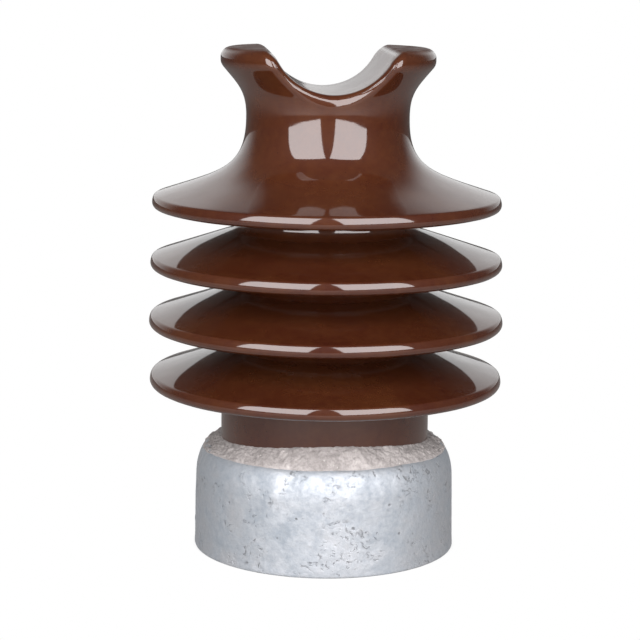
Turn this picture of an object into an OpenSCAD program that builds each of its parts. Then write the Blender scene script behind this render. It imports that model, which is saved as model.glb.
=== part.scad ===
// Tie-top line insulator: one porcelain body cemented into a galvanised iron base.
// Millimetres, +Z up. The origin is the centre of the base's underside, and the
// conductor groove in the head runs along Y.

/* [Overall] */
// Height from the seating face to the top of the head
overall_h = 229; // [220:1:240]
// Radius of the solid porcelain core between the sheds
core_r = 41; // [38:0.5:44]

/* [Head] */
// Radius of the head
head_r = 48.5; // [46:0.1:50]
// Height of the upright band round the head
head_band_h = 7.5; // [7:0.5:9]
// Rounding of the band's lower edge
head_under_r = 5; // [3:0.5:5]
// Rounding of the head's top edge
head_edge_r = 4.6; // [2:0.1:6]
// Radius of the neck that the tie wire is wrapped round
neck_r = 37; // [35:0.5:39]
// Height of the neck's narrowest ring above the seating face
neck_z = 198.4; // [195:0.2:202]
// Radius of the groove that the conductor lies in
saddle_r = 28; // [26:0.5:30]
// Depth of the conductor groove below the top of the head
saddle_depth = 19; // [16:0.5:21]
// Half length of the groove's straight middle part
saddle_half = 36.5; // [34:0.5:38]
// Radius of the rolled lips at the groove's two ends
saddle_lip_r = 6; // [4:0.5:8]

/* [Sheds] */
// Radii of the sheds, lowest first
shed_r = [80.8, 81, 80.2, 79.3]; // [70:0.1:90]
// Heights of the sheds' rims, lowest first
shed_z = [77.8, 104.9, 131.6, 159.2]; // [70:0.1:170]
// Slope of a shed's upper face in degrees
shed_slope = 18.3; // [15:0.1:21]
// Slope of a shed's under face in degrees
shed_under_slope = 3.5; // [1:0.5:5]
// Radius of the flattened nose of a rim
rim_nose_r = 6.4; // [5:0.1:8]
// Rounding between a rim's nose and the upper face
rim_upper_r = 1.8; // [1.5:0.1:3]
// Rounding between a rim's nose and the under face
rim_lower_r = 2.8; // [2:0.1:4]
// Fillet where a shed's upper face meets the core
fillet_upper_r = 5; // [3:0.5:6]
// Fillet where a shed's under face meets the core
fillet_lower_r = 3.5; // [2:0.5:4]

/* [Foot] */
// Radius of the glazed foot below the lowest shed
foot_r = 47.8; // [46:0.1:49]
// Height of the foot's end above the seating face
foot_z = 22; // [22:0.5:24]
// Rounding of the foot's end
foot_edge_r = 3; // [2:0.5:4]
// Thickness of the sand fired on the foot
sand_t = 0.8; // [0.5:0.1:1.2]
// Height of the sand band's upper edge
sand_top_z = 50; // [48:0.5:52]
// Thickness of each bitumen coat
bitumen_t = 0.4; // [0.3:0.1:0.6]

/* [Base] */
// Outer radius of the base at the seating face
base_r = 60.2; // [58:0.1:62]
// Outer radius of the base where its shoulder begins
base_shoulder_r = 59.4; // [58:0.1:61]
// Height at which the shoulder begins
base_shoulder_z = 33.6; // [30:0.2:36]
// Radius of the base's mouth, which holds the cement
mouth_r = 53; // [52:0.2:54]
// Height of the base's mouth
mouth_z = 47.6; // [46:0.2:49]
// Depth of the two retaining grooves in the base's inner wall
key_depth = 1.6; // [1:0.1:2]
// Height of the cup's floor above the seating face
floor_z = 20; // [19:0.5:21]
// Outer radius of the hollow under the base
hollow_outer_r = 49; // [46:0.5:51]
// Height of the hollow under the base
hollow_h = 10; // [8:0.5:11]
// Radius of the central boss, which is tapped for the stud
boss_r = 21; // [19:0.5:24]
// Wall radius of the tapped hole, for a 3/4-10 UNC stud
stud_hole_r = 8.25; // [8:0.05:8.5]
// Depth of the tapped hole
stud_hole_depth = 16; // [15:0.5:17]
// Height at which the cement meets the foot
cement_top_z = 54; // [52:0.5:56]

/* [Hidden] */
$fn = 96;

steps = 7;                                // straight pieces in each rounded corner
curve_steps = 16;                         // straight pieces in each long curve
saddle_axis_z = overall_h - saddle_depth + saddle_r;
head_band_z = overall_h - head_band_h;    // lower edge of the head's upright band
sand_r = foot_r + sand_t;
coat_r = sand_r + bitumen_t;
sand_bottom_z = foot_z + foot_edge_r + 1;
cushion_r = foot_r - foot_edge_r;
key_zs = [26.5, 36];                      // lower edges of the retaining grooves
key_h = 6;                                // height of a retaining groove
key_taper = 1.5;                          // rise of a retaining groove's slanting sides
shoulder_lift = 0.5;                      // how full the shoulder's curve is
band_handle = [7, 8.2];                    // how the head's under side runs out to its band
band_angle = atan2(band_handle[0], band_handle[1]);
hole_chamfer = 1.5;                       // lead-in of the tapped hole
corner_r = 2;                             // rounding inside the hollow under the base
nose_low = 2;                             // angle at which a rim's nose begins
nose_high = 24;                           // angle at which a rim's nose ends

// Points of an arc about (cr, cz) of radius r, from angle a0 to a1
function arc(cr, cz, r, a0, a1, n = steps) =
    [for (i = [0:n]) let (a = a0 + (a1 - a0) * i / n) [cr + r * cos(a), cz + r * sin(a)]];

// Point t along a cubic curve with end points p0 and p3 and handles p1 and p2
function cubic(p0, p1, p2, p3, t) =
    pow(1 - t, 3) * p0 + 3 * pow(1 - t, 2) * t * p1 + 3 * (1 - t) * t * t * p2 + pow(t, 3) * p3;

// Points of a cubic curve, without its first one
function curve(p0, p1, p2, p3) =
    [for (i = [1:curve_steps]) cubic(p0, p1, p2, p3, i / curve_steps)];

// Centre of the rounding of radius r that touches the nose of shed k's rim at angle a
function rim_centre(k, r, a) =
    [shed_r[k] - rim_nose_r, shed_z[k]] + (rim_nose_r - r) * [cos(a), sin(a)];

// Where a shed's upper rounding runs into its slope
function slope_start(k) =
    rim_centre(k, rim_upper_r, nose_high) + rim_upper_r * [sin(shed_slope), cos(shed_slope)];

// Where a shed's lower rounding runs into its under face
function under_start(k) =
    rim_centre(k, rim_lower_r, nose_low) - rim_lower_r * [sin(shed_under_slope), cos(shed_under_slope)];

// Shed k from the wall at radius wall_r, out along its under face and round its rim
function shed_rim(k, wall_r) =
    let (u = under_start(k),
         fillet_r = wall_r + fillet_lower_r,
         fillet_z = u[1] + (u[0] - fillet_r) * tan(shed_under_slope)
                    - fillet_lower_r / cos(shed_under_slope),
         below = rim_centre(k, rim_lower_r, nose_low),
         above = rim_centre(k, rim_upper_r, nose_high))
    concat(arc(fillet_r, fillet_z, fillet_lower_r, 180, 90 - shed_under_slope),
           arc(below[0], below[1], rim_lower_r, -90 - shed_under_slope, nose_low),
           arc(shed_r[k] - rim_nose_r, shed_z[k], rim_nose_r, nose_low, nose_high),
           arc(above[0], above[1], rim_upper_r, nose_high, 90 - shed_slope));

// Inner end of shed k's upper face, with its fillet into the core
function shed_root(k) =
    let (s = slope_start(k),
         fillet_r = core_r + fillet_upper_r,
         fillet_z = s[1] + (s[0] - fillet_r) * tan(shed_slope) + fillet_upper_r / cos(shed_slope))
    arc(fillet_r, fillet_z, fillet_upper_r, 270 - shed_slope, 180);

// Outline of the porcelain's right half, from the foot's end to the top of the head
function body_outline() =
    let (top = len(shed_z) - 1,
         s = slope_start(top),
         slope_dir = [-cos(shed_slope), sin(shed_slope)],
         neck = [neck_r, neck_z],
         round_z = head_band_z + head_under_r * tan(band_angle / 2),
         band = [head_r - head_under_r * (1 - cos(band_angle)), round_z - head_under_r * sin(band_angle)])
    concat([[0, foot_z]],
           arc(foot_r - foot_edge_r, foot_z + foot_edge_r, foot_edge_r, -90, 0),
           shed_rim(0, foot_r), shed_root(0),
           [for (k = [1:top]) each concat(shed_rim(k, core_r), k < top ? shed_root(k) : [])],
           curve(s, s + 32 * slope_dir, neck - [0, 23.5], neck),
           curve(neck, neck + [0, 10.5], band - band_handle, band),
           arc(head_r - head_under_r, round_z, head_under_r, -band_angle, 0),
           arc(head_r - head_edge_r, overall_h - head_edge_r, head_edge_r, 0, 90),
           [[0, overall_h]]);

// One half of the outline of the groove's cutter, from its middle out along y
function cutter_half(side) =
    concat([[saddle_r, side * saddle_half]],
           [for (i = [1:steps]) let (a = 80 * i / steps)
               [saddle_r + saddle_lip_r * (1 - cos(a)), side * (saddle_half + saddle_lip_r * sin(a))]],
           [[saddle_r + saddle_lip_r * 3, side * head_r * 1.2]]);

// Inner wall of the base's cup with its two retaining grooves, moved inwards by inset
function cup_wall(inset) =
    concat([[mouth_r - inset, floor_z + inset]],
           [for (z = key_zs) each
               [[mouth_r - inset, z], [mouth_r + key_depth - inset, z + key_taper],
                [mouth_r + key_depth - inset, z + key_h - key_taper], [mouth_r - inset, z + key_h]]],
           [[mouth_r - inset, mouth_z]]);

module conductor_groove() {
    translate([0, 0, saddle_axis_z]) rotate([90, 0, 0]) rotate_extrude()
        polygon(concat([[0, -head_r * 1.2]],
                       [for (i = [len(cutter_half(1)) - 1:-1:0]) cutter_half(-1)[i]],
                       cutter_half(1), [[0, head_r * 1.2]]));
}

module porcelain_body() {
    color("#6b2a12") difference() {
        rotate_extrude() polygon(body_outline());
        conductor_groove();
    }
}

module sand_band() {
    color("#9a8a7c") rotate_extrude()
        polygon([[foot_r, sand_bottom_z], [sand_r, sand_bottom_z],
                 [sand_r, sand_top_z], [foot_r, sand_top_z]]);
}

module foot_bitumen_coat() {
    color("#17130f") rotate_extrude()
        polygon([[sand_r, sand_bottom_z], [coat_r, sand_bottom_z],
                 [coat_r, sand_top_z], [sand_r, sand_top_z]]);
}

module cement_joint() {
    color("#aaa29c") rotate_extrude()
        polygon(concat([[cushion_r, foot_z], [cushion_r, floor_z],
                        [mouth_r - bitumen_t, floor_z]],
                       cup_wall(bitumen_t),
                       [[foot_r, cement_top_z], [foot_r, sand_top_z],
                        [coat_r, sand_top_z], [coat_r, sand_bottom_z],
                        [foot_r, sand_bottom_z]],
                       arc(foot_r - foot_edge_r, foot_z + foot_edge_r, foot_edge_r, 0, -90)));
}

module base_bitumen_lining() {
    inner = cup_wall(bitumen_t);
    color("#1d1814") rotate_extrude()
        polygon(concat(cup_wall(0), [for (i = [len(inner) - 1:-1:0]) inner[i]]));
}

module cushion_disc() {
    color("#b08a5c") translate([0, 0, floor_z]) cylinder(r = cushion_r, h = foot_z - floor_z);
}

module metal_base() {
    shoulder = curve([base_shoulder_r, base_shoulder_z],
                     [base_shoulder_r, base_shoulder_z + (mouth_z - base_shoulder_z) * shoulder_lift],
                     [mouth_r + (base_shoulder_r - mouth_r) * shoulder_lift, mouth_z],
                     [mouth_r, mouth_z]);
    wall = cup_wall(0);
    color("#aeb6bd") difference() {
        rotate_extrude()
            polygon(concat([[0, 0], [base_r, 0], [base_shoulder_r, base_shoulder_z]], shoulder,
                           [for (i = [len(wall) - 2:-1:0]) wall[i]], [[0, floor_z]]));
        rotate_extrude()
            polygon(concat([[boss_r, -1]],
                           arc(boss_r + corner_r, hollow_h - corner_r, corner_r, 180, 90),
                           arc(hollow_outer_r - corner_r, hollow_h - corner_r, corner_r, 90, 0),
                           [[hollow_outer_r, -1]]));
        translate([0, 0, -1]) cylinder(r = stud_hole_r, h = stud_hole_depth + 1);
        translate([0, 0, -hole_chamfer])
            cylinder(r1 = stud_hole_r + 2 * hole_chamfer, r2 = stud_hole_r, h = 2 * hole_chamfer);
    }
}

porcelain_body();
sand_band();
foot_bitumen_coat();
cement_joint();
base_bitumen_lining();
cushion_disc();
metal_base();
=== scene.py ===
"""Looks of a tie-top line insulator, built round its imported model.

Lengths are in metres and angles in degrees unless a name says otherwise. +Z is up, the conductor groove
runs along Y, and the camera looks roughly along +Y. An outline is a list of (radius, height) points of a
turned body, and it runs with the body on its left, so that every face made from it points outwards.
"""

from __future__ import annotations

import logging
import math
from dataclasses import dataclass, field
from enum import Enum

import bpy
import numpy as np
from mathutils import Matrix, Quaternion, Vector

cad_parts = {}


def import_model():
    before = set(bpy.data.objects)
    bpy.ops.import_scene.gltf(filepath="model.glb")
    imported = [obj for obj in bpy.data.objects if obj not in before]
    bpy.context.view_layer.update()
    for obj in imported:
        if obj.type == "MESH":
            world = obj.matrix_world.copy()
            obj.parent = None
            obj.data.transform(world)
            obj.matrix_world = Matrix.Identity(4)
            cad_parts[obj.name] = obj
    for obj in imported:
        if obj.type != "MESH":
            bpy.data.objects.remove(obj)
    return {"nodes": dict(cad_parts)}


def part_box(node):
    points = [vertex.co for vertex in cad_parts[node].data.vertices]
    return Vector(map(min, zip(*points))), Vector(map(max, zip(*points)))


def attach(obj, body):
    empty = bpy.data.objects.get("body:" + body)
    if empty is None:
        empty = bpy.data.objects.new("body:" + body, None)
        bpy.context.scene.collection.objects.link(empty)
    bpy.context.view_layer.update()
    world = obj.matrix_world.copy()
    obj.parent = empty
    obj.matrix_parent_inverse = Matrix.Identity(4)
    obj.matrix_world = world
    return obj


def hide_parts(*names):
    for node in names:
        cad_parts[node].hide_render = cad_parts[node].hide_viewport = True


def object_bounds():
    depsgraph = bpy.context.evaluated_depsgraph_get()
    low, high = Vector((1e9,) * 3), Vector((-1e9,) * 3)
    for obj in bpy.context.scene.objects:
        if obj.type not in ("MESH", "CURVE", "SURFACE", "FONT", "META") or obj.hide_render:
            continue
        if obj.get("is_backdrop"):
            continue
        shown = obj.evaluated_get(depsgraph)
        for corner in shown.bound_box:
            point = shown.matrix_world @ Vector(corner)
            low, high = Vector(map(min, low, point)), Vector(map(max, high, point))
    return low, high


LOG = logging.getLogger("insulator")
ROOT_BODY = "root"
NODE_SPACING = 200
Rgb = tuple[float, float, float]
Inputs = dict[str | int, object]
WHITE: Rgb = (1.0, 1.0, 1.0)


class Node(str, Enum):
    """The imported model's nodes."""

    PORCELAIN = "porcelain_body"
    SAND = "sand_band"
    FOOT_BITUMEN = "foot_bitumen_coat"
    CEMENT = "cement_joint"
    BASE_BITUMEN = "base_bitumen_lining"
    CUSHION = "cushion_disc"
    BASE = "metal_base"


class RowEnd(Enum):
    """How a grid of rows ends: closed by a point on the axis, or joined to the grid's other end."""

    POLE = "pole"
    RING = "ring"


# ---------------------------------------------------------------- outlines


def arc(centre: tuple[float, float], radius: float, start: float, end: float,
        step: float = 9.0) -> np.ndarray:
    """Points of a circle's arc: centre + radius * (cos a, sin a), with a going evenly from start to end.

    Args:
        centre: Radius and height of the arc's centre.
        radius: The arc's own radius.
        start: First angle in degrees, counted from the outward direction.
        end: Last angle in degrees.
        step: Largest angle between two points.

    Returns:
        An (n, 2) array of radius and height.
    """
    count = max(2, math.ceil(abs(end - start) / step) + 1)
    angle = np.radians(np.linspace(start, end, count))
    return np.column_stack([centre[0] + radius * np.cos(angle), centre[1] + radius * np.sin(angle)])


def cubic(p0: np.ndarray, p1: np.ndarray, p2: np.ndarray, p3: np.ndarray, count: int) -> np.ndarray:
    """Points of a cubic Bezier curve: its four control points weighted by Bernstein polynomials of t.

    Args:
        p0: First point.
        p1: Handle of the first point.
        p2: Handle of the last point.
        p3: Last point.
        count: Number of points, both ends included.

    Returns:
        A (count, 2) array of radius and height.
    """
    t = np.linspace(0.0, 1.0, count)[:, None]
    return (1 - t) ** 3 * p0 + 3 * (1 - t) ** 2 * t * p1 + 3 * (1 - t) * t**2 * p2 + t**3 * p3


def join(parts: list[np.ndarray], longest: float) -> np.ndarray:
    """Joins pieces of outline and splits straight stretches, so that no step is longer than a given length.

    Args:
        parts: Arrays of radius and height, in order.
        longest: Longest step allowed between two points.

    Returns:
        One (n, 2) outline without repeated points.
    """
    points = np.vstack(parts)
    gap = np.linalg.norm(np.diff(points, axis=0), axis=1)
    keep = np.concatenate([[True], gap > 1e-7])
    points = points[keep]
    gap = np.linalg.norm(np.diff(points, axis=0), axis=1)
    pieces = [np.linspace(a, b, math.ceil(g / longest), endpoint=False)
              for a, b, g in zip(points[:-1], points[1:], gap)]
    return np.vstack(pieces + [points[-1:]])


def arc_length(points: np.ndarray) -> np.ndarray:
    """Distance travelled along an outline at each of its points."""
    return np.concatenate([[0.0], np.cumsum(np.linalg.norm(np.diff(points, axis=0), axis=1))])


def smoothstep(value: np.ndarray, low: float, high: float) -> np.ndarray:
    """Eases from 0 at low to 1 at high: t * t * (3 - 2 t), with t the clipped share of the way."""
    t = np.clip((value - low) / (high - low), 0.0, 1.0)
    return t * t * (3 - 2 * t)


# ---------------------------------------------------------------- noise fields


def lattice_random(cell: np.ndarray, seed: int) -> np.ndarray:
    """A fixed random number from 0 to 1 for each lattice cell, hashed from its three whole numbers."""
    with np.errstate(over="ignore"):
        index = cell.astype(np.int64).astype(np.uint64)
        mixed = index[..., 0] * np.uint64(73856093) ^ index[..., 1] * np.uint64(19349663)
        mixed = mixed ^ index[..., 2] * np.uint64(83492791) ^ np.uint64(seed * 2654435761 % 2**32)
        mixed = (mixed ^ (mixed >> np.uint64(15))) * np.uint64(2246822519)
        mixed = (mixed ^ (mixed >> np.uint64(13))) * np.uint64(3266489917)
        mixed = mixed ^ (mixed >> np.uint64(16))
    return (mixed & np.uint64(0xFFFFFF)).astype(float) / 0xFFFFFF


def value_noise(points: np.ndarray, cell: float, seed: int) -> np.ndarray:
    """Smooth noise from -1 to 1: random values on a lattice, blended with eased weights between its corners.

    Args:
        points: (..., 3) positions.
        cell: Size of a lattice cell.
        seed: Which noise.

    Returns:
        One value for each position.
    """
    scaled = points / cell
    corner = np.floor(scaled)
    part = scaled - corner
    ease = part * part * (3 - 2 * part)
    total = np.zeros(points.shape[:-1])
    for offset in np.ndindex(2, 2, 2):
        step = np.array(offset)
        weight = np.prod(np.where(step == 1, ease, 1 - ease), axis=-1)
        total += weight * lattice_random(corner + step, seed)
    return total * 2 - 1


def fractal_noise(points: np.ndarray, cell: float, octaves: int, seed: int) -> np.ndarray:
    """Layers of value noise, each half the size and half the height of the last, scaled to about -1 to 1."""
    total = np.zeros(points.shape[:-1])
    for octave in range(octaves):
        total += value_noise(points, cell / 2**octave, seed + octave) / 2**octave
    return total / (2 - 0.5 ** (octaves - 1))


def grains(points: np.ndarray, cell: float, seed: int) -> tuple[np.ndarray, np.ndarray]:
    """Packed grains: distance to the nearest random centre, of one in each lattice cell, and its number.

    Args:
        points: (..., 3) positions.
        cell: Typical size of a grain.
        seed: Which grains.

    Returns:
        The distance as a share of the cell, and a random number from 0 to 1 for the nearest grain.
    """
    scaled = points / cell
    home = np.floor(scaled)
    nearest = np.full(points.shape[:-1], 9.0)
    number = np.zeros(points.shape[:-1])
    for offset in np.ndindex(3, 3, 3):
        cell_index = home + np.array(offset) - 1
        shift = np.stack([lattice_random(cell_index, seed + axis) for axis in range(3)], axis=-1)
        distance = np.linalg.norm(scaled - (cell_index + shift), axis=-1)
        closer = distance < nearest
        nearest = np.where(closer, distance, nearest)
        number = np.where(closer, lattice_random(cell_index, seed + 7), number)
    return nearest, number


# ---------------------------------------------------------------- meshes


def turn_angles(columns: int) -> np.ndarray:
    """Angle of each column round the axis, in radians: 2 pi j / columns."""
    return np.arange(columns) * (2 * math.pi / columns)


def polar(radius: np.ndarray, angle: np.ndarray, height: np.ndarray) -> np.ndarray:
    """Positions (r cos a, r sin a, z) of radii, angles in radians and heights that broadcast together."""
    return np.stack(np.broadcast_arrays(radius * np.cos(angle), radius * np.sin(angle), height), axis=-1)


def turned(outline: np.ndarray, columns: int) -> np.ndarray:
    """Turns an outline about the Z axis.

    Args:
        outline: (rows, 2) radius and height.
        columns: Number of steps round the axis.

    Returns:
        A (rows, columns, 3) grid.
    """
    return polar(outline[:, :1], turn_angles(columns), outline[:, 1:])


def grid_normals(grid: np.ndarray) -> np.ndarray:
    """Unit normals of a grid that closes round the axis: the cross product of its two central differences."""
    around = np.roll(grid, -1, axis=1) - np.roll(grid, 1, axis=1)
    along = np.gradient(grid, axis=0)
    normal = np.cross(around, along)
    return normal / np.maximum(np.linalg.norm(normal, axis=-1, keepdims=True), 1e-12)


def grid_mesh(name: str, grid: np.ndarray, end: RowEnd) -> bpy.types.Object:
    """Makes a closed mesh object from a grid whose columns go round the axis.

    Args:
        name: The object's name.
        grid: (rows, columns, 3) positions. With RowEnd.POLE the first and last rows are points on the axis.
        end: How the rows end.

    Returns:
        The new object, at the origin, shaded smooth.

    Raises:
        ValueError: If a position isn't a number, because the piece would be missing from the picture.
    """
    if not np.isfinite(grid).all():
        raise ValueError(f"{name} has positions that aren't numbers")
    rows, columns = grid.shape[:2]
    column = np.arange(columns)
    following = (column + 1) % columns
    if end is RowEnd.POLE:
        vertices = np.vstack([grid[0, :1], grid[1:-1].reshape(-1, 3), grid[-1, :1]])
        first = 1 + np.arange(rows - 3)[:, None] * columns
        second = first + columns
        last_row = 1 + (rows - 3) * columns
        fans = np.vstack([
            np.column_stack([np.zeros(columns, int), 1 + following, 1 + column]),
            np.column_stack([np.full(columns, len(vertices) - 1), last_row + column, last_row + following]),
        ]).tolist()
    else:
        vertices = grid.reshape(-1, 3)
        first = np.arange(rows)[:, None] * columns
        second = (first + columns) % (rows * columns)
        fans = []
    quads = np.stack([first + column, first + following, second + following, second + column], axis=-1)
    mesh = bpy.data.meshes.new(name)
    mesh.from_pydata(vertices.tolist(), [], quads.reshape(-1, 4).tolist() + fans)
    mesh.shade_smooth()
    mesh.validate()
    made = bpy.data.objects.new(name, mesh)
    bpy.context.scene.collection.objects.link(made)
    LOG.info("%s: %d vertices, %d faces", name, len(mesh.vertices), len(mesh.polygons))
    return made


# ---------------------------------------------------------------- shader graphs


class Graph:
    """Adds nodes to one node tree and links them, so that a finish reads as a short list of steps."""

    def __init__(self, tree: bpy.types.NodeTree) -> None:
        """Keeps the tree and starts the column that places new nodes."""
        self.tree = tree
        self.place = 0

    def fill(self, node: bpy.types.Node, inputs: Inputs) -> None:
        """Gives a node its inputs.

        Args:
            node: The node.
            inputs: Socket name or number to a value, or to an output socket to link from.
        """
        for key, value in inputs.items():
            if isinstance(value, bpy.types.NodeSocket):
                self.tree.links.new(value, node.inputs[key])
            else:
                node.inputs[key].default_value = value

    def add(self, kind: str, inputs: Inputs | None = None, **settings: object) -> bpy.types.Node:
        """Adds one node.

        Args:
            kind: The node's type name.
            inputs: What its sockets get, as for fill.
            **settings: Attributes of the node, set before its sockets.

        Returns:
            The new node.
        """
        made = self.tree.nodes.new(kind)
        made.location = (self.place, 0)
        self.place += NODE_SPACING
        for key, value in settings.items():
            setattr(made, key, value)
        self.fill(made, inputs or {})
        return made

    def noise(self, vector: bpy.types.NodeSocket, size: float, detail: float = 3.0, rough: float = 0.5,
              warp: float = 0.0) -> bpy.types.NodeSocket:
        """Fractal noise from 0 to 1 whose blotches are about size metres across.

        Args:
            vector: Positions to read it at.
            size: Size of the largest blotches.
            detail: Number of finer layers.
            rough: Strength of each finer layer.
            warp: How strongly the noise bends itself.

        Returns:
            The noise value's socket.
        """
        return self.add("ShaderNodeTexNoise", {"Vector": vector, "Scale": 1 / size, "Detail": detail,
                                               "Roughness": rough, "Distortion": warp}).outputs[0]

    def ramp(self, value: bpy.types.NodeSocket, low: object, high: object, to_low: float = 0.0,
             to_high: float = 1.0) -> bpy.types.NodeSocket:
        """Eases a value between two limits, plain or linked, and gives it a new range, as smoothstep does."""
        return self.add("ShaderNodeMapRange", {0: value, 1: low, 2: high, 3: to_low, 4: to_high},
                        interpolation_type="SMOOTHSTEP").outputs[0]

    def math(self, operation: str, *values: object) -> bpy.types.NodeSocket:
        """One arithmetic step on one, two or three values."""
        return self.add("ShaderNodeMath", dict(enumerate(values)), operation=operation).outputs[0]

    def mix(self, factor: object, first: object, second: object, blend: str = "MIX") -> bpy.types.NodeSocket:
        """Blends two colours by a factor."""
        made = self.add("ShaderNodeMix", {0: factor, 6: first, 7: second}, data_type="RGBA", blend_type=blend)
        return made.outputs[2]

    def bump(self, height: bpy.types.NodeSocket, distance: float, strength: float = 1.0,
             below: bpy.types.NodeSocket | None = None) -> bpy.types.NodeSocket:
        """Turns a height into a normal; distance is the height in metres that a value of 1 stands for."""
        inputs: Inputs = {"Height": height, "Distance": distance, "Strength": strength}
        if below is not None:
            inputs["Normal"] = below
        return self.add("ShaderNodeBump", inputs).outputs[0]


def rgba(colour: Rgb) -> tuple[float, float, float, float]:
    """A linear colour with full alpha."""
    return (*colour, 1.0)


def new_group(name: str, inputs: dict[str, tuple[str, object]],
              outputs: dict[str, str]) -> tuple[Graph, dict, bpy.types.Node]:
    """Starts a shader node group.

    Args:
        name: The group's name.
        inputs: Socket name to its type and default value.
        outputs: Socket name to its type.

    Returns:
        The graph to fill, the group's input sockets by name, and its output node.
    """
    tree = bpy.data.node_groups.new(name, "ShaderNodeTree")
    for socket, (kind, default) in inputs.items():
        made = tree.interface.new_socket(name=socket, in_out="INPUT", socket_type=kind)
        if default is not None:
            made.default_value = default
    for socket, kind in outputs.items():
        tree.interface.new_socket(name=socket, in_out="OUTPUT", socket_type=kind)
    graph = Graph(tree)
    entry = graph.add("NodeGroupInput")
    return graph, {socket.name: socket for socket in entry.outputs}, graph.add("NodeGroupOutput")


@dataclass
class SharedEffects:
    """The shader node groups that several finishes place with their own values."""

    mottle: bpy.types.NodeTree = field(init=False)
    specks: bpy.types.NodeTree = field(init=False)

    def __post_init__(self) -> None:
        """Builds each group once."""
        self.mottle = self.build_mottle()
        self.specks = self.build_specks()

    @staticmethod
    def build_mottle() -> bpy.types.NodeTree:
        """Cloudy blotches of two sizes, as a mask, and a colour blended by it."""
        graph, given, out = new_group(
            "mottle",
            {"Vector": ("NodeSocketVector", None), "Broad Scale": ("NodeSocketFloat", 40.0),
             "Fine Scale": ("NodeSocketFloat", 300.0), "Contrast": ("NodeSocketFloat", 0.5),
             "Light": ("NodeSocketColor", rgba((0.8, 0.8, 0.8))),
             "Dark": ("NodeSocketColor", rgba((0.2, 0.2, 0.2)))},
            {"Color": "NodeSocketColor", "Mask": "NodeSocketFloat"})
        broad = graph.add("ShaderNodeTexNoise", {"Vector": given["Vector"], "Scale": given["Broad Scale"],
                                                 "Detail": 4.0, "Roughness": 0.55, "Distortion": 0.6})
        fine = graph.add("ShaderNodeTexNoise", {"Vector": given["Vector"], "Scale": given["Fine Scale"],
                                                "Detail": 3.0, "Roughness": 0.6})
        mixed = graph.math("MULTIPLY_ADD", fine.outputs[0], 0.35,
                           graph.math("MULTIPLY", broad.outputs[0], 0.65))
        gain = graph.math("MULTIPLY", given["Contrast"], 6.0)
        spread = graph.math("MULTIPLY_ADD", graph.math("SUBTRACT", mixed, 0.5), gain, 0.5)
        mask = graph.add("ShaderNodeClamp", {0: spread}).outputs[0]
        colour = graph.mix(mask, given["Dark"], given["Light"])
        graph.fill(out, {"Color": colour, "Mask": mask})
        return graph.tree

    @staticmethod
    def build_specks() -> bpy.types.NodeTree:
        """Small round pits or specks, scattered by cell noise and thinned by how many are wanted."""
        graph, given, out = new_group(
            "specks",
            {"Vector": ("NodeSocketVector", None), "Scale": ("NodeSocketFloat", 400.0),
             "Radius": ("NodeSocketFloat", 0.3), "Share": ("NodeSocketFloat", 0.3)},
            {"Mask": "NodeSocketFloat"})
        bent = graph.add("ShaderNodeTexNoise",
                         {"Vector": given["Vector"], "Scale": given["Scale"], "Detail": 1.0})
        shift = graph.add("ShaderNodeVectorMath", {0: bent.outputs["Color"], 1: (0.5, 0.5, 0.5)},
                          operation="SUBTRACT")
        reach = graph.math("DIVIDE", 0.5, given["Scale"])
        moved = graph.add("ShaderNodeVectorMath", {0: shift.outputs[0], "Scale": reach}, operation="SCALE")
        place = graph.add("ShaderNodeVectorMath", {0: given["Vector"], 1: moved.outputs[0]}, operation="ADD")
        cells = graph.add("ShaderNodeTexVoronoi", {"Vector": place.outputs[0], "Scale": given["Scale"]})
        chosen = graph.add("ShaderNodeSeparateColor", {0: cells.outputs["Color"]})
        wanted = graph.math("LESS_THAN", chosen.outputs[0], given["Share"])
        spread = graph.math("MULTIPLY_ADD", chosen.outputs[1], 0.7, 0.3)
        size = graph.math("MULTIPLY", given["Radius"], spread)
        near = graph.ramp(cells.outputs["Distance"], graph.math("MULTIPLY", size, 0.4), size, 1.0, 0.0)
        graph.fill(out, {"Mask": graph.math("MULTIPLY", near, wanted)})
        return graph.tree


def place_group(graph: Graph, tree: bpy.types.NodeTree, inputs: Inputs) -> bpy.types.Node:
    """Places a shared node group in a material."""
    return graph.add("ShaderNodeGroup", inputs, node_tree=tree)


def new_material(name: str) -> tuple[bpy.types.Material, Graph, bpy.types.Node, bpy.types.NodeSocket]:
    """Starts a node material.

    Args:
        name: The material's name.

    Returns:
        The material, its graph, its Principled shader and the socket of object positions.
    """
    material = bpy.data.materials.new(name)
    material.use_nodes = True
    graph = Graph(material.node_tree)
    shader = material.node_tree.nodes["Principled BSDF"]
    position = graph.add("ShaderNodeTexCoord").outputs["Object"]
    return material, graph, shader, position


# ---------------------------------------------------------------- finishes


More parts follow.
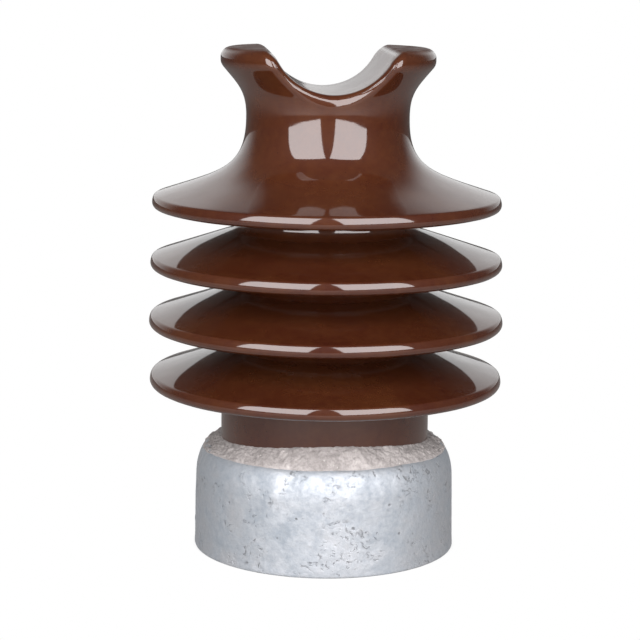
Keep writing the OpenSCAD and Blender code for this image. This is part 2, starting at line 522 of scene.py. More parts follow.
@dataclass(frozen=True)
class BrownGlaze:
    """Chocolate iron glaze: a cloudy brown body with iron specks, under a clear glossy coat."""

    thick: Rgb = (0.034, 0.0070, 0.0031)
    thin: Rgb = (0.058, 0.0175, 0.0058)
    iron: Rgb = (0.012, 0.004, 0.003)
    iron_strength: float = 0.35
    body_smooth: float = 0.40
    body_rough: float = 0.60
    body_specular: float = 0.05
    roughness: float = 0.06
    index: float = 1.6
    wave_height: float = 0.00006
    pinhole_depth: float = 0.5
    crown_height: float = 0.2286
    crown_depth: float = 0.0014
    seat_height: float = 0.238
    seat_radius: float = 0.0283
    seat_border: float = 0.0007
    seat_rubbed: float = 0.3

    def rubbed(self, graph: Graph, position: bpy.types.NodeSocket) -> bpy.types.NodeSocket:
        """Mask of where the gloss is rubbed off: wholly on the ears' tops, and partly where the conductor lies.

        Args:
            graph: The material's graph.
            position: Object coordinates.

        Returns:
            The mask.
        """
        split = graph.add("ShaderNodeSeparateXYZ", {"Vector": position})
        crown = graph.ramp(split.outputs["Z"], self.crown_height - self.crown_depth, self.crown_height)
        above = graph.math("SUBTRACT", split.outputs["Z"], self.seat_height)
        squares = [graph.math("MULTIPLY", part, part) for part in (split.outputs["X"], above)]
        reach = graph.math("SQRT", graph.math("ADD", *squares))
        seat = graph.ramp(reach, self.seat_radius, self.seat_radius + self.seat_border, self.seat_rubbed, 0.0)
        return graph.math("MAXIMUM", crown, seat)

    def build(self, effects: SharedEffects) -> bpy.types.Material:
        """Makes the glaze's material.

        Args:
            effects: The shared node groups.

        Returns:
            The material.
        """
        material, graph, shader, position = new_material("brown_glaze")
        mottle = place_group(graph, effects.mottle, {
            "Vector": position, "Broad Scale": 22.0, "Fine Scale": 260.0, "Contrast": 0.45,
            "Light": rgba(self.thin), "Dark": rgba(self.thick)})
        iron = place_group(graph, effects.specks,
                           {"Vector": position, "Scale": 900.0, "Radius": 0.35, "Share": 0.12})
        colour = graph.mix(graph.math("MULTIPLY", iron.outputs["Mask"], self.iron_strength),
                           mottle.outputs["Color"], rgba(self.iron))
        smear = graph.noise(position, 0.012, 4.0, 0.6)
        wave = graph.noise(position, 0.009, 1.0, 0.4)
        pin = place_group(graph, effects.specks,
                          {"Vector": position, "Scale": 520.0, "Radius": 0.22, "Share": 0.05})
        pinholes = graph.math("MULTIPLY", pin.outputs["Mask"], self.pinhole_depth)
        graph.fill(shader, {
            "Base Color": colour,
            "Roughness": graph.ramp(smear, 0.35, 0.75, self.body_smooth, self.body_rough),
            "Specular IOR Level": self.body_specular,
            "Coat Weight": graph.math("SUBTRACT", 1.0, self.rubbed(graph, position)),
            "Coat IOR": self.index,
            "Coat Roughness": self.roughness,
            "Normal": graph.bump(graph.math("SUBTRACT", wave, pinholes), self.wave_height),
        })
        return material


@dataclass(frozen=True)
class GalvanisedZinc:
    """Hot-dip zinc over cast iron: pale blue-grey, cloudy, with darker pits and a soft metal shine."""

    light: Rgb = (0.46, 0.48, 0.505)
    dark: Rgb = (0.31, 0.345, 0.38)
    grime: Rgb = (0.07, 0.068, 0.065)
    stain: float = 0.5
    roughness: float = 0.62
    metal: float = 0.76
    relief: float = 0.00030
    pit_depth: float = 0.8

    def build(self, effects: SharedEffects) -> bpy.types.Material:
        """Makes the zinc's material.

        Args:
            effects: The shared node groups.

        Returns:
            The material.
        """
        material, graph, shader, position = new_material("galvanised_iron")
        mottle = place_group(graph, effects.mottle, {
            "Vector": position, "Broad Scale": 55.0, "Fine Scale": 420.0, "Contrast": 0.5,
            "Light": rgba(self.light), "Dark": rgba(self.dark)})
        pits = place_group(graph, effects.specks,
                           {"Vector": position, "Scale": 240.0, "Radius": 0.30, "Share": 0.08})
        torn = graph.ramp(graph.noise(position, 0.0030, 4.0, 0.6, 1.2), 0.55, 0.70)
        patch = graph.ramp(graph.noise(position, 0.016, 2.0), 0.46, 0.58)
        marks = graph.math("MAXIMUM", graph.math("MULTIPLY", torn, patch), pits.outputs["Mask"])
        stain = graph.math("MULTIPLY", marks, self.stain)
        stained = graph.mix(stain, mottle.outputs["Color"], rgba(self.grime))
        rough = graph.ramp(mottle.outputs["Mask"], 0.0, 1.0, self.roughness * 1.25, self.roughness * 0.85)
        cast = graph.noise(position, 0.0035, 5.0, 0.6)
        height = graph.math("SUBTRACT", cast, graph.math("MULTIPLY", marks, self.pit_depth))
        graph.fill(shader, {"Base Color": stained, "Roughness": rough, "Metallic": self.metal,
                            "Normal": graph.bump(height, self.relief)})
        return material


@dataclass(frozen=True)
class CementPaste:
    """Neat cement with sand: pale pinkish grey, dry, with lighter and darker grains."""

    light: Rgb = (0.38, 0.355, 0.345)
    dark: Rgb = (0.22, 0.204, 0.197)
    quartz: Rgb = (0.48, 0.46, 0.44)
    quartz_strength: float = 0.8
    roughness: float = 0.9
    quartz_roughness: float = 0.45
    relief: float = 0.0003

    def build(self, effects: SharedEffects) -> bpy.types.Material:
        """Makes the cement's material.

        Args:
            effects: The shared node groups.

        Returns:
            The material.
        """
        material, graph, shader, position = new_material("cement")
        mottle = place_group(graph, effects.mottle, {
            "Vector": position, "Broad Scale": 140.0, "Fine Scale": 900.0, "Contrast": 0.7,
            "Light": rgba(self.light), "Dark": rgba(self.dark)})
        quartz = place_group(graph, effects.specks,
                             {"Vector": position, "Scale": 700.0, "Radius": 0.5, "Share": 0.10})
        colour = graph.mix(graph.math("MULTIPLY", quartz.outputs["Mask"], self.quartz_strength),
                           mottle.outputs["Color"], rgba(self.quartz))
        grit = graph.noise(position, 0.0012, 4.0, 0.7)
        rough = graph.ramp(quartz.outputs["Mask"], 0.0, 1.0, self.roughness, self.quartz_roughness)
        graph.fill(shader, {"Base Color": colour, "Roughness": rough,
                            "Normal": graph.bump(grit, self.relief)})
        return material


@dataclass(frozen=True)
class DryCoat:
    """A hidden finish with cloudy colour and grit: bitumen, fired sand and cork differ only in values."""

    name: str
    light: Rgb
    dark: Rgb
    grain: float
    roughness: float
    relief: float

    def build(self, effects: SharedEffects) -> bpy.types.Material:
        """Makes the coat's material.

        Args:
            effects: The shared node groups.

        Returns:
            The material.
        """
        material, graph, shader, position = new_material(self.name)
        mottle = place_group(graph, effects.mottle, {
            "Vector": position, "Broad Scale": 0.2 / self.grain, "Fine Scale": 1 / self.grain,
            "Contrast": 0.6, "Light": rgba(self.light), "Dark": rgba(self.dark)})
        rough = graph.ramp(mottle.outputs["Mask"], 0.0, 1.0, self.roughness, self.roughness * 0.8)
        grit = graph.noise(position, self.grain * 2, 4.0, 0.6)
        graph.fill(shader, {"Base Color": mottle.outputs["Color"], "Roughness": rough,
                            "Normal": graph.bump(grit, self.relief)})
        return material


BITUMEN = DryCoat("bitumen", light=(0.045, 0.04, 0.036), dark=(0.015, 0.013, 0.012), grain=0.002,
                  roughness=0.55, relief=0.0001)
FIRED_SAND = DryCoat("fired_sand", light=(0.62, 0.54, 0.47), dark=(0.36, 0.30, 0.25), grain=0.0009,
                     roughness=0.9, relief=0.0004)
CORK = DryCoat("cork", light=(0.52, 0.34, 0.19), dark=(0.26, 0.15, 0.08), grain=0.0016,
               roughness=0.85, relief=0.0003)


# ---------------------------------------------------------------- the porcelain


@dataclass
class PorcelainBody:
    """The glazed porcelain: a turned outline with a groove across its head, fired as one piece."""

    top: float
    foot_end: float
    core_radius: float = 0.041
    head_radius: float = 0.0485
    head_band: float = 0.0075
    head_edge: float = 0.0046
    head_under: float = 0.005
    band_handle: tuple[float, float] = (0.007, 0.0082)
    neck_radius: float = 0.037
    neck_height: float = 0.1984
    neck_handle: float = 0.0105
    shoulder_handles: tuple[float, float] = (0.032, 0.0235)
    saddle_radius: float = 0.028
    saddle_depth: float = 0.019
    shed_radii: tuple[float, ...] = (0.0808, 0.081, 0.0802, 0.0793)
    shed_heights: tuple[float, ...] = (0.0778, 0.1049, 0.1316, 0.1592)
    shed_slope: float = 18.3
    shed_under_slope: float = 3.5
    rim_nose: float = 0.0064
    nose_low: float = 2.0
    nose_high: float = 24.0
    rim_upper: float = 0.0018
    rim_lower: float = 0.0028
    fillet_upper: float = 0.005
    fillet_lower: float = 0.0035
    foot_radius: float = 0.0478
    foot_edge: float = 0.003
    lip_round: float = 0.0062
    ear_round: float = 0.0040
    lip_zone: tuple[float, float] = (0.6, 0.85)
    waviness: float = 0.00022
    wave_zone: tuple[float, float] = (0.055, 0.075)
    body_step: float = 0.0026
    head_step: float = 0.0004
    columns: int = 320
    head_rows: int = 60
    groove_rows: int = 36
    groove_crowding: float = 1.8

    @property
    def groove_axis(self) -> float:
        """Height of the axis that the groove's round wall is drawn about."""
        return self.top - self.saddle_depth + self.saddle_radius

    def rim_centre(self, k: int, radius: float, angle: float) -> np.ndarray:
        """Centre of the rounding that touches the nose of shed k's rim at an angle.

        Args:
            k: Which shed, lowest first.
            radius: The rounding's own radius.
            angle: Angle of the shared normal in degrees.

        Returns:
            Radius and height of the centre.
        """
        outward = np.array([math.cos(math.radians(angle)), math.sin(math.radians(angle))])
        nose = np.array([self.shed_radii[k] - self.rim_nose, self.shed_heights[k]])
        return nose + (self.rim_nose - radius) * outward

    def under_face(self, k: int, wall: float) -> list[np.ndarray]:
        """Outline of shed k from the wall below: a fillet, the straight under face and the rim's arcs.

        Args:
            k: Which shed, lowest first.
            wall: Radius of the wall that the shed grows from.

        Returns:
            Pieces of outline, up to where the upper face begins.
        """
        slope = math.radians(self.shed_under_slope)
        below = self.rim_centre(k, self.rim_lower, self.nose_low)
        above = self.rim_centre(k, self.rim_upper, self.nose_high)
        start = below - self.rim_lower * np.array([math.sin(slope), math.cos(slope)])
        fillet = wall + self.fillet_lower
        fillet_height = start[1] + (start[0] - fillet) * math.tan(slope) - self.fillet_lower / math.cos(slope)
        return [arc((fillet, fillet_height), self.fillet_lower, 180, 90 - self.shed_under_slope, 14),
                arc(below, self.rim_lower, -90 - self.shed_under_slope, self.nose_low),
                arc(self.rim_centre(k, self.rim_nose, 0.0), self.rim_nose, self.nose_low, self.nose_high, 4),
                arc(above, self.rim_upper, self.nose_high, 90 - self.shed_slope)]

    def upper_start(self, k: int) -> np.ndarray:
        """Where shed k's rim runs into its sloping upper face."""
        slope = math.radians(self.shed_slope)
        above = self.rim_centre(k, self.rim_upper, self.nose_high)
        return above + self.rim_upper * np.array([math.sin(slope), math.cos(slope)])

    def root(self, k: int) -> np.ndarray:
        """Fillet between shed k's upper face and the core."""
        slope = math.radians(self.shed_slope)
        start = self.upper_start(k)
        radius = self.core_radius + self.fillet_upper
        height = start[1] + (start[0] - radius) * math.tan(slope) + self.fillet_upper / math.cos(slope)
        return arc((radius, height), self.fillet_upper, 270 - self.shed_slope, 180, 14)

    def lower_outline(self) -> np.ndarray:
        """Outline from the centre of the foot's end up to the narrowest ring of the neck.

        Returns:
            An (n, 2) array of radius and height.
        """
        last = len(self.shed_radii) - 1
        corner = (self.foot_radius - self.foot_edge, self.foot_end + self.foot_edge)
        parts = [np.array([[0.0, self.foot_end]]), arc(corner, self.foot_edge, -90, 0, 18),
                 *self.under_face(0, self.foot_radius), self.root(0)]
        for k in range(1, last):
            parts += [*self.under_face(k, self.core_radius), self.root(k)]
        parts += self.under_face(last, self.core_radius)
        slope = math.radians(self.shed_slope)
        start = self.upper_start(last)
        along = np.array([-math.cos(slope), math.sin(slope)])
        neck = np.array([self.neck_radius, self.neck_height])
        leave, arrive = self.shoulder_handles
        parts.append(cubic(start, start + leave * along, neck - np.array([0, arrive]), neck, 34))
        return join(parts, self.body_step)

    def head_outline(self) -> np.ndarray:
        """Fine outline from the neck's narrowest ring out to the head's band and over the top to the axis."""
        neck = np.array([self.neck_radius, self.neck_height])
        angle = math.atan2(*self.band_handle)
        rounding = np.array([self.head_radius - self.head_under,
                             self.top - self.head_band + self.head_under * math.tan(angle / 2)])
        band = rounding + self.head_under * np.array([math.cos(angle), -math.sin(angle)])
        rim = (self.head_radius - self.head_edge, self.top - self.head_edge)
        handles = neck + np.array([0, self.neck_handle]), band - np.array(self.band_handle)
        return join([cubic(neck, *handles, band, 60),
                     arc(rounding, self.head_under, -math.degrees(angle), 0, 3),
                     arc(rim, self.head_edge, 0, 90, 3),
                     np.array([[0.0, self.top]])], self.head_step)

    def groove_floor(self, x: np.ndarray) -> np.ndarray:
        """Height of the groove's wall at distance x across it: the lower half of a circle about its axis."""
        return self.groove_axis - np.sqrt(np.maximum(self.saddle_radius**2 - x**2, 0.0))

    def head_grid(self) -> np.ndarray:
        """Rows from the neck up the outline to the groove's edge, then down the groove to its middle.

        For each direction round the axis the outline is followed to where it first enters the groove, and
        the rows are shared out evenly along that length. The groove's own rows shrink their radius to zero,
        and a power of the share crowds them towards the lip.

        Returns:
            A (rows, columns, 3) grid with sharp edges.
        """
        outline = self.head_outline()
        length = arc_length(outline)
        angle = turn_angles(self.columns)
        across = outline[:, :1] * np.cos(angle)
        reach = np.hypot(across, outline[:, 1:] - self.groove_axis) - self.saddle_radius
        first = np.argmax(reach < 0, axis=0)
        column = np.arange(self.columns)
        before, after = reach[first - 1, column], reach[first, column]
        stop = length[first - 1] + (length[first] - length[first - 1]) * before / (before - after)
        share = np.linspace(0.0, 1.0, self.head_rows)[:, None]
        travelled = share * stop
        radius = np.interp(travelled, length, outline[:, 0])
        height = np.interp(travelled, length, outline[:, 1])
        inward = 1 - np.linspace(0.0, 1.0, self.groove_rows + 1)[1:, None] ** self.groove_crowding
        groove_radius = radius[-1] * inward
        radius = np.vstack([radius, groove_radius])
        height = np.vstack([height, self.groove_floor(groove_radius * np.cos(angle))])
        return polar(radius, angle, height)

    def head_field(self, points: np.ndarray, segments: np.ndarray) -> np.ndarray:
        """Signed distance-like field of the head, zero on its rounded surface and negative inside.

        It is a rounded intersection: with a the distance to the turned outline, b the depth into the groove
        and k the rounding, it is max(a, b) away from the edges and hypot(a + k, b + k) - k near both.

        Args:
            points: (n, 3) positions.
            segments: (m, 2, 2) straight pieces of the outline, in order.

        Returns:
            One value for each position.
        """
        flat = np.column_stack([np.hypot(points[:, 0], points[:, 1]), points[:, 2]])
        start, along = segments[:, 0], segments[:, 1] - segments[:, 0]
        offset = flat[:, None, :] - start[None]
        share = np.clip((offset * along).sum(-1) / (along * along).sum(-1), 0.0, 1.0)
        away = offset - share[..., None] * along
        distance = np.linalg.norm(away, axis=-1)
        nearest = distance.argmin(axis=1)
        row = np.arange(len(points))
        side = along[nearest, 0] * away[row, nearest, 1] - along[nearest, 1] * away[row, nearest, 0]
        turned_distance = np.where(side < 0, 1.0, -1.0) * distance[row, nearest]
        groove = self.saddle_radius - np.hypot(points[:, 0], points[:, 2] - self.groove_axis)
        low, high = (part * self.head_radius for part in self.lip_zone)
        towards_lip = smoothstep(np.abs(points[:, 1]), low, high)
        rounding = self.ear_round + (self.lip_round - self.ear_round) * towards_lip
        inside = np.minimum(np.maximum(turned_distance, groove), -rounding)
        return inside + np.hypot(np.maximum(turned_distance + rounding, 0), np.maximum(groove + rounding, 0))

    def round_head(self, grid: np.ndarray) -> np.ndarray:
        """Moves the head's points onto its rounded field by four Newton steps along the field's gradient.

        Args:
            grid: Sharp-edged positions.

        Returns:
            Rounded positions.
        """
        outline = self.head_outline()[:-1:3]
        outline = np.vstack([[self.neck_radius, self.neck_height - 0.004], outline, [0.0, self.top]])
        segments = np.stack([outline[:-1], outline[1:]], axis=1)
        points = grid.reshape(-1, 3).copy()
        probe = 1e-5
        for _ in range(4):
            value = self.head_field(points, segments)
            slope = np.stack([(self.head_field(points + probe * step, segments) - value) / probe
                              for step in np.eye(3)], axis=-1)
            points -= slope * (value / np.maximum((slope * slope).sum(-1), 0.2))[:, None]
        return points.reshape(grid.shape)

    def build(self) -> bpy.types.Object:
        """Makes the porcelain's mesh, with the slow waviness of hand-finished clay.

        Returns:
            The object.
        """
        lower = turned(self.lower_outline()[:-1], self.columns)
        head = self.head_grid()
        centre = np.broadcast_to(np.array([0.0, 0.0, self.top - self.saddle_depth]), head[-1:].shape)
        head = np.vstack([head[:1], self.round_head(head[1:-1]), centre])
        grid = np.vstack([lower, head])
        normal = grid_normals(grid)
        wave = value_noise(grid, 0.030, 11) + 0.35 * value_noise(grid, 0.011, 12)
        free = smoothstep(grid[..., 2], *self.wave_zone)
        grid = grid - normal * ((wave + 1) * 0.5 * self.waviness * free)[..., None]
        grid[0] = lower[0]
        grid[-1] = grid[-1].mean(axis=0)
        return grid_mesh("glazed_porcelain", grid, RowEnd.POLE)


# ---------------------------------------------------------------- the iron base


@dataclass
class IronBase:
    """The galvanised cup: a turned casting with uneven walls, a hollow underside and a tapped boss."""

    outer: float
    mouth_height: float
    shoulder_radius: float = 0.0594
    shoulder_height: float = 0.0336
    shoulder_lift: float = 0.5
    mouth: float = 0.053
    floor: float = 0.020
    hollow_outer: float = 0.049
    hollow_height: float = 0.010
    boss: float = 0.021
    corner: float = 0.002
    hole: float = 0.00825
    hole_depth: float = 0.016
    chamfer: float = 0.0015
    thread_pitch: float = 0.00254
    thread_depth: float = 0.0012
    edge: float = 0.0008
    columns: int = 400

    def shoulder(self) -> np.ndarray:
        """The rounded shoulder, from the wall in to the mouth."""
        start = np.array([self.shoulder_radius, self.shoulder_height])
        end = np.array([self.mouth, self.mouth_height])
        rise = (end - start) * self.shoulder_lift
        return cubic(start, start + [0, rise[1]], end - [rise[0], 0], end, 26)

    def hole_outline(self) -> np.ndarray:
        """The tapped hole, from the middle of its end down to the chamfer's mouth."""
        wall = np.linspace([self.hole, self.hole_depth], [self.hole, self.chamfer], 74)
        return np.vstack([[0.0, self.hole_depth], wall, [self.hole + self.chamfer, 0.0]])

    def outline(self) -> np.ndarray:
        """The whole outline, from the hole's end out under the base, up its wall and down into the cup.

        Returns:
            An (n, 2) array of radius and height.
        """
        inner, outer, ceiling = self.boss, self.hollow_outer, self.hollow_height
        under = join([
            np.array([[self.hole + self.chamfer, 0.0]]),
            arc((inner - self.edge, self.edge), self.edge, -90, 0, 30),
            arc((inner + self.corner, ceiling - self.corner), self.corner, 180, 90, 18),
            arc((outer - self.corner, ceiling - self.corner), self.corner, 90, 0, 18),
            arc((outer + self.edge, self.edge), self.edge, 180, 270, 30),
            arc((self.outer - self.edge, self.edge), self.edge, -90, 0, 22),
        ], 0.0018)
        wall = join([under[-1:], self.shoulder()], 0.0009)
        cup = join([wall[-1:], np.array([[self.mouth - 0.0002, self.mouth_height - 0.003],
                                         [self.mouth, self.floor], [0.0, self.floor]])], 0.006)
        return np.vstack([self.hole_outline()[:-1], under, wall[1:], cup[1:]])

    def cut_thread(self, grid: np.ndarray) -> np.ndarray:
        """Cuts a right-hand thread in the hole: r grows by a clipped triangle wave of height / pitch - turns.

        Args:
            grid: (rows, columns, 3) positions.

        Returns:
            The grid with the thread cut in it.
        """
        radius = np.hypot(grid[..., 0], grid[..., 1])
        turn = np.arange(grid.shape[1]) / grid.shape[1]
        phase = (grid[..., 2] / self.thread_pitch - turn) % 1.0
        tooth = np.clip(2.2 * (1 - np.abs(2 * phase - 1)) - 0.6, 0.0, 1.0)
        in_hole = (np.abs(radius - self.hole) < 1e-5) & (grid[..., 2] < self.hole_depth - 1e-5)
        fade = smoothstep(grid[..., 2], self.hole_depth, self.hole_depth - 0.0012)
        grown = np.where(in_hole, 1 + tooth * fade * self.thread_depth / np.maximum(radius, 1e-6), 1.0)
        return grid * np.stack([grown, grown, np.ones_like(grown)], axis=-1)

    def roughen(self, grid: np.ndarray) -> np.ndarray:
        """Moves the cast surface along its normals: slow waves, small lumps, and round pits from cell noise.

        Args:
            grid: (rows, columns, 3) positions.

        Returns:
            The uneven grid.
        """
        normal = grid_normals(grid)
        wave = 0.00028 * value_noise(grid, 0.022, 21) + 0.00013 * fractal_noise(grid, 0.006, 3, 22)
        near, number = grains(grid, 0.0095, 31)
        pit = smoothstep(near, 0.19, 0.04) * (number < 0.25) * (0.4 + 2 * number)
        close, which = grains(grid, 0.0075, 41)
        lump = smoothstep(close, 0.26, 0.04) * (which < 0.22)
        radius = np.hypot(grid[..., 0], grid[..., 1])
        outside = smoothstep(radius, self.mouth - 0.001, self.mouth + 0.002)
        outside = outside * smoothstep(grid[..., 2], 0.0004, 0.003)
        under = (radius > self.hole + 2 * self.chamfer) & (grid[..., 2] < self.hollow_height + 0.001)
        amount = wave * np.maximum(outside, 0.6 * under) + outside * (0.00030 * lump - 0.00045 * pit)
        amount = np.where(outside > 0, np.minimum(amount, 0.0003) - 0.00005, amount)
        resting = grid[..., 2] < 0.0003
        return grid + normal * np.where(resting, 0.0, amount)[..., None]

    def build(self) -> bpy.types.Object:
        """Makes the base's mesh.

        Returns:
            The object.
        """
        grid = turned(self.outline(), self.columns)
        threaded = self.cut_thread(grid)
        rough = self.roughen(grid) - grid
        return grid_mesh("galvanised_base", threaded + rough, RowEnd.POLE)


# ---------------------------------------------------------------- the cement


@dataclass
class CementRing:
    """The cement: a ring in the base's mouth whose sloping top is troweled by hand and full of grains."""

    base: IronBase
    foot: float
    bottom: float
    foot_top: float
    coat: float = 0.049
    coat_top: float = 0.050
    lining: float = 0.0004
    spread_front: float = 0.0542
    spread_side: float = 0.0560
    rise_front: float = 0.0025
    drop_side: float = 0.0034
    bulge: float = 0.0009
    lift: float = 0.0003
    grain: float = 0.0016
    edge_wander: float = 0.0006
    meet_wander: float = 0.0007
    foot_overlap: float = 0.0004
    columns: int = 900

    def shoulder_height_at(self, radius: np.ndarray) -> np.ndarray:
        """Height of the iron's shoulder at each radius."""
        line = self.base.shoulder()[::-1]
        return np.interp(radius, line[:, 0], line[:, 1])

    def build(self) -> bpy.types.Object:
        """Makes the cement's mesh as a ring of rows that closes on itself.

        The top runs from a thin edge on the iron's shoulder up to the foot. The edge's radius is larger at
        the sides than in front, by the fourth power of the angle's cosine, and both ends wander with noise.
        Grains stand out by one minus their distance squared.

        Returns:
            The object.
        """
        angle = turn_angles(self.columns)
        ring = np.column_stack([np.cos(angle), np.sin(angle), np.zeros(self.columns)])
        wander = fractal_noise(ring * 0.055, 0.012, 4, 51)
        spread = (self.spread_side - self.spread_front) * np.cos(angle) ** 4
        edge = self.spread_front + spread + self.edge_wander * wander
        climb = fractal_noise(ring * 0.048, 0.016, 4, 61)
        facing = np.maximum(-np.sin(angle), 0.0) ** 2
        meet = self.foot_top + self.rise_front * facing - self.drop_side * np.cos(angle) ** 2
        meet = meet + self.meet_wander * climb
        share = np.linspace(0.0, 1.0, 34)[:, None]
        inner = self.foot - self.foot_overlap
        radius = edge + (inner - edge) * share
        start = self.shoulder_height_at(edge)
        bulge = np.sin(math.pi * share) * self.bulge * facing
        height = start + (meet - start) * share + bulge + self.lift * smoothstep(share, 0.0, 0.05)
        top = polar(radius, angle, height)
        near, number = grains(top, self.grain, 71)
        fine, _ = grains(top, self.grain * 0.45, 81)
        relief = 0.00062 * (1 - np.minimum(near, 1) ** 2) * (0.4 + number)
        relief += 0.0002 * (1 - np.minimum(fine, 1) ** 2)
        relief += 0.0005 * fractal_noise(top, 0.005, 3, 91) - 0.0004
        normal = grid_normals(top)
        body = smoothstep(share, 0.0, 0.08) * (1 - 0.75 * smoothstep(share, 0.86, 1.0))
        top = top + normal * (relief * body)[..., None]
        hidden = np.array([
            [inner, self.coat_top], [self.coat, self.coat_top], [self.coat, self.bottom + 0.004],
            [self.foot - 0.003, self.bottom], [self.base.mouth - self.lining, self.bottom],
            [self.base.mouth - self.lining, self.base.mouth_height - 0.002],
        ])
        inside = turned(join([hidden], 0.008), self.columns)
        sunk = self.shoulder_height_at(edge) - 0.0006
        under = polar(edge - 0.0002, angle, sunk)[None]
        return grid_mesh("cement_ring", np.vstack([under, top, inside]), RowEnd.RING)


# ---------------------------------------------------------------- the studio


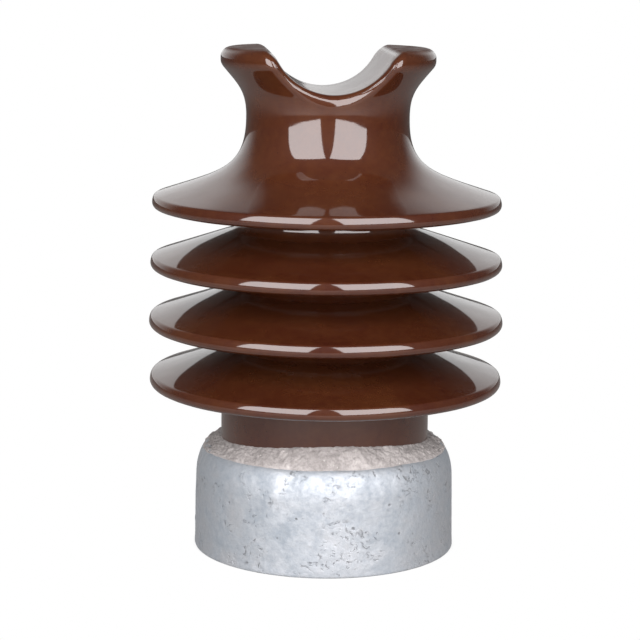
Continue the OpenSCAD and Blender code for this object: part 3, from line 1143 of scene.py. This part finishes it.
@dataclass
class Studio:
    """Plain pale floor, two tall softboxes in front, a bright surround behind, and the camera."""

    low: Vector
    high: Vector
    distance: float = 0.929
    elevation: float = 10.4
    azimuth: float = -4.4
    aim_share: float = 0.4568
    side_shift: float = -0.0026
    roll: float = 0.6
    lens: float = 113.8
    softbox_azimuth: float = 32.2
    softbox_facing: float = 17.3
    softbox_reach: float = 1.0
    softbox_centre: float = 0.655
    softbox_width: float = 0.88
    softbox_height: float = 1.07
    softbox_lean: float = 7.0
    softbox_radiance: float = 7.4
    backdrop: float = 0.95
    dim: float = 0.09
    floor_size: float = 60.0
    plain_radius: float = 0.054
    plain_fade: float = 1.15
    backdrop_sides: tuple[float, float] = (0.45, 0.92)
    backdrop_top: tuple[float, float] = (0.45, 0.75)
    floor_bounce: Rgb = (0.38, 0.365, 0.35)

    def direction(self, azimuth: float, elevation: float) -> Vector:
        """Unit vector from the object towards a viewer at that azimuth and elevation."""
        a, e = math.radians(azimuth), math.radians(elevation)
        return Vector((math.sin(a) * math.cos(e), -math.cos(a) * math.cos(e), math.sin(e)))

    def build_camera(self) -> None:
        """Adds the camera and makes it the scene's."""
        back = self.direction(self.azimuth, self.elevation)
        side = Vector((math.cos(math.radians(self.azimuth)), math.sin(math.radians(self.azimuth)), 0.0))
        height = self.low.z + self.aim_share * (self.high.z - self.low.z)
        aim = Vector((0.0, 0.0, height)) + side * self.side_shift
        data = bpy.data.cameras.new("camera")
        data.lens = self.lens
        data.clip_start, data.clip_end = 0.01, 100.0
        made = bpy.data.objects.new("camera", data)
        made.location = aim + back * self.distance
        made.rotation_mode = "QUATERNION"
        roll = Quaternion((0, 0, 1), math.radians(self.roll))
        made.rotation_quaternion = (-back).to_track_quat("-Z", "Y") @ roll
        bpy.context.scene.collection.objects.link(made)
        bpy.context.scene.camera = made

    def build_softbox(self, name: str, side: int) -> None:
        """Adds one softbox: it stands upright in front, faces almost forwards and leans in at the top.

        Args:
            name: The light's name.
            side: 1 for the right one and -1 for the left one.
        """
        facing = self.direction(self.azimuth + side * self.softbox_facing, 0.0)
        data = bpy.data.lights.new(name, "AREA")
        data.shape = "RECTANGLE"
        data.size, data.size_y = self.softbox_width, self.softbox_height
        data.energy = self.softbox_radiance * math.pi * self.softbox_width * self.softbox_height
        data.color = (1.0, 0.975, 0.985)
        made = bpy.data.objects.new(name, data)
        made.location = self.direction(self.azimuth + side * self.softbox_azimuth, 0.0) * self.softbox_reach
        made.location.z = self.softbox_centre
        lean = Quaternion((0.0, 0.0, 1.0), math.radians(side * self.softbox_lean))
        made.rotation_mode = "QUATERNION"
        made.rotation_quaternion = (-facing).to_track_quat("-Z", "Y") @ lean
        bpy.context.scene.collection.objects.link(made)

    def build_world(self) -> None:
        """Adds the surround: white to the camera, bright low down behind the object and dim all round it."""
        world = bpy.data.worlds.new("studio")
        world.use_nodes = True
        graph = Graph(world.node_tree)
        toward = graph.add("ShaderNodeTexCoord").outputs["Generated"]
        split = graph.add("ShaderNodeSeparateXYZ", {0: toward})
        back = graph.ramp(split.outputs["Y"], *self.backdrop_sides)
        low = graph.ramp(split.outputs["Z"], *self.backdrop_top, 1.0, 0.0)
        bright = graph.math("MULTIPLY", back, low)
        behind = graph.math("MULTIPLY_ADD", bright, self.backdrop - self.dim, self.dim)
        seen = graph.add("ShaderNodeLightPath").outputs["Is Camera Ray"]
        level = graph.add("ShaderNodeMix", {0: seen, 2: behind, 3: 1.0}, data_type="FLOAT").outputs[0]
        graph.fill(world.node_tree.nodes["Background"], {"Strength": level, "Color": rgba(WHITE)})
        bpy.context.scene.world = world

    def build_floor(self) -> None:
        """Adds the floor: pale to the camera and white beyond the base, but darker to bounced light."""
        half = self.floor_size / 2
        mesh = bpy.data.meshes.new("floor")
        corners = [(-half, -half, self.low.z), (half, -half, self.low.z), (half, half, self.low.z),
                   (-half, half, self.low.z)]
        mesh.from_pydata(corners, [], [(0, 1, 2, 3)])
        floor = bpy.data.objects.new("floor", mesh)
        bpy.context.scene.collection.objects.link(floor)
        material, graph, shader, position = new_material("pale_floor")
        tone = graph.noise(position, 0.4, 3.0)
        pale = graph.mix(tone, rgba((0.80, 0.80, 0.80)), rgba((0.84, 0.84, 0.84)))
        seen = graph.add("ShaderNodeLightPath").outputs["Is Camera Ray"]
        tint = graph.mix(seen, rgba(self.floor_bounce), pale)
        graph.fill(shader, {"Base Color": tint, "Roughness": 0.85})
        away = graph.add("ShaderNodeVectorMath", {0: position}, operation="LENGTH").outputs["Value"]
        beyond = graph.ramp(away, self.plain_radius, self.plain_radius * self.plain_fade)
        far = graph.math("MULTIPLY", seen, beyond)
        glow = graph.add("ShaderNodeEmission", {"Color": rgba(WHITE), "Strength": 1.0})
        blend = graph.add("ShaderNodeMixShader", {0: far, 1: shader.outputs[0], 2: glow.outputs[0]})
        graph.fill(material.node_tree.nodes["Material Output"], {"Surface": blend.outputs[0]})
        mesh.materials.append(material)
        floor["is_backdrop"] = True

    def build(self) -> None:
        """Builds the whole studio."""
        self.build_camera()
        self.build_softbox("softbox_left", -1)
        self.build_softbox("softbox_right", 1)
        self.build_world()
        self.build_floor()
        bpy.context.scene.view_settings.view_transform = "Standard"


# ---------------------------------------------------------------- putting it together


def dress(piece: bpy.types.Object, material: bpy.types.Material) -> None:
    """Gives a new piece its one material."""
    piece.data.materials.append(material)


def paint_node(piece: bpy.types.Object, material: bpy.types.Material) -> None:
    """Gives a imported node's slots a better material."""
    for slot in piece.material_slots:
        slot.material = material


def main() -> None:
    """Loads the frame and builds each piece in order."""
    logging.basicConfig(level=logging.INFO, format="%(name)s: %(message)s")
    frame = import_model()
    low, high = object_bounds()
    Studio(low, high).build()
    effects = SharedEffects()

    foot_low, porcelain_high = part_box(Node.PORCELAIN.value)
    porcelain = PorcelainBody(top=porcelain_high[2], foot_end=foot_low[2])
    porcelain_piece = porcelain.build()
    dress(porcelain_piece, BrownGlaze().build(effects))

    base_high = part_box(Node.BASE.value)[1]
    base = IronBase(outer=base_high[0], mouth_height=base_high[2])
    base_piece = base.build()
    dress(base_piece, GalvanisedZinc().build(effects))

    cement_low, cement_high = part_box(Node.CEMENT.value)
    cement = CementRing(base=base, foot=porcelain.foot_radius, bottom=cement_low[2], foot_top=cement_high[2])
    cement_piece = cement.build()
    dress(cement_piece, CementPaste().build(effects))

    replaced = [(porcelain_piece, Node.PORCELAIN, "brown_glaze"), (base_piece, Node.BASE, "galvanised_iron"),
                (cement_piece, Node.CEMENT, "cement")]
    for piece, node, slot in replaced:
        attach(piece, ROOT_BODY)
        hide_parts(node.value)

    bitumen, sand, cork = (coat.build(effects) for coat in (BITUMEN, FIRED_SAND, CORK))
    painted = [(Node.SAND, sand), (Node.FOOT_BITUMEN, bitumen), (Node.BASE_BITUMEN, bitumen),
               (Node.CUSHION, cork)]
    for node, material in painted:
        paint_node(frame["nodes"][node.value], material)
        LOG.info("%s: packed node with a finish of its own", node.value)

    low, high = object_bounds()


if __name__ == "__main__":
    main()
